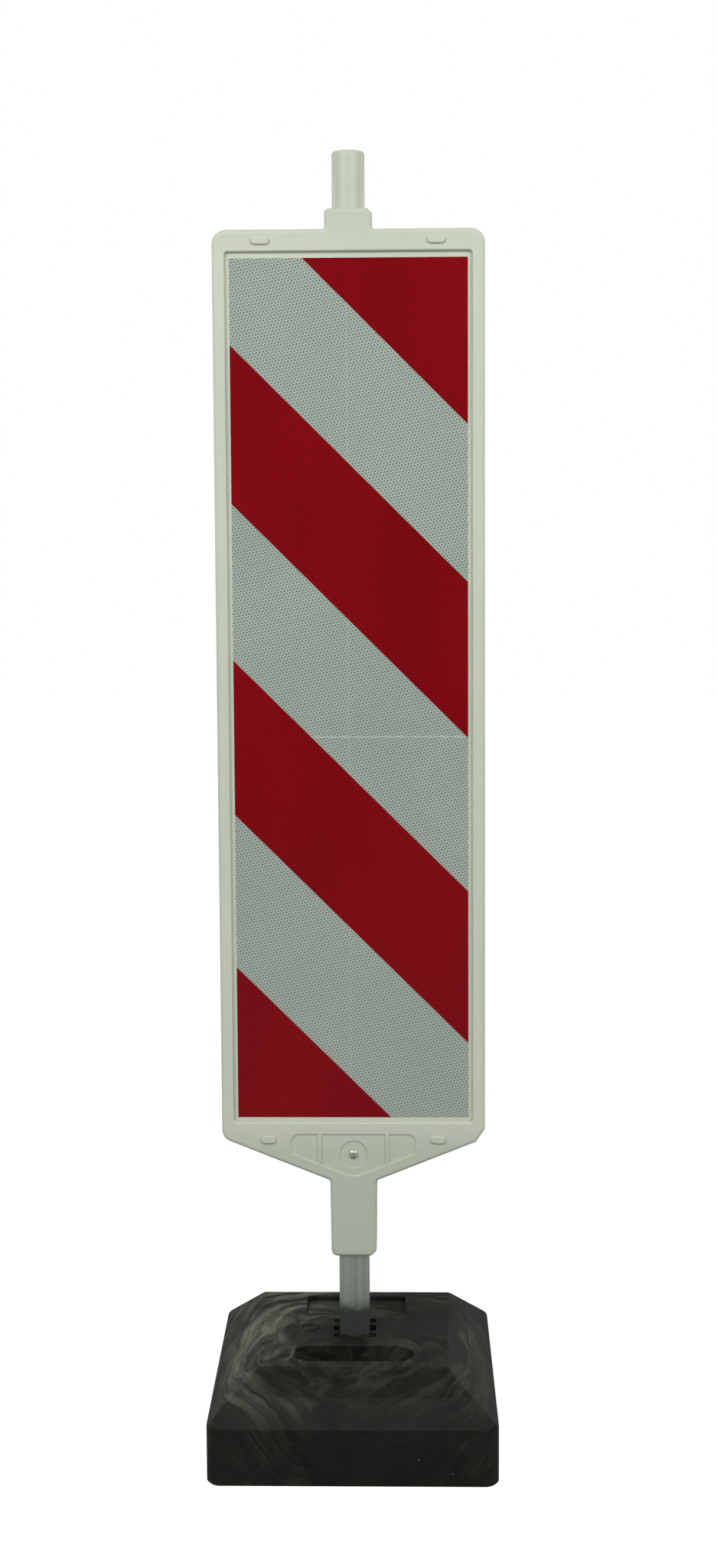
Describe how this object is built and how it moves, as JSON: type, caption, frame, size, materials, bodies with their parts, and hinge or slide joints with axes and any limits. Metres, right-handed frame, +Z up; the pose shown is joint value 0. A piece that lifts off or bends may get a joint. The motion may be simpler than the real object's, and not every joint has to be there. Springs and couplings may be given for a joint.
{
  "type": "delineator post",
  "caption": "Free-standing road-works guidance panel: striped reflective board on a square steel post that plugs into a heavy base, with a lamp peg on top.",
  "frame": {"origin": "on the ground, on the axis of the post, in the plane of the base plate's underside", "axes": "+Z up along the post, the front face looks along -Y, +X to the right of someone facing the front"},
  "size_m": [0.37, 0.348, 1.681],
  "materials": {
    "recycled_plastic": "matt recycled plastic with pale flow streaks",
    "galvanised_steel": "zinc-coated steel with a fine drawn grain",
    "panel_plastic": "satin moulded plastic",
    "zinc_plate": "bright zinc plate",
    "white_sheeting": "prismatic reflective sheeting",
    "red_film": "transparent red film over reflective sheeting"
  },
  "bodies": {
    "base": {"base_plate": "recycled_plastic"},
    "panel": {"post_tube": "galvanised_steel", "front_shell": "panel_plastic", "rear_shell": "panel_plastic", "fixing_screw": "zinc_plate", "front_sheet": "white_sheeting", "rear_sheet": "white_sheeting", "front_stripe_top": "red_film", "front_stripe_upper": "red_film", "front_stripe_lower": "red_film", "front_stripe_bottom": "red_film", "rear_stripe_top": "red_film", "rear_stripe_upper": "red_film", "rear_stripe_lower": "red_film", "rear_stripe_bottom": "red_film"},
    "lamp_plug": {"lamp_peg": "panel_plastic"}
  },
  "joints": [
    {"name": "post_lift", "type": "slide", "parent": "base", "child": "panel", "axis": [0, 0, 1], "range_m": [0, 0.12]},
    {"name": "peg_lift", "type": "slide", "parent": "panel", "child": "lamp_plug", "axis": [0, 0, 1], "range_m": [0, 0.05]}
  ]
}
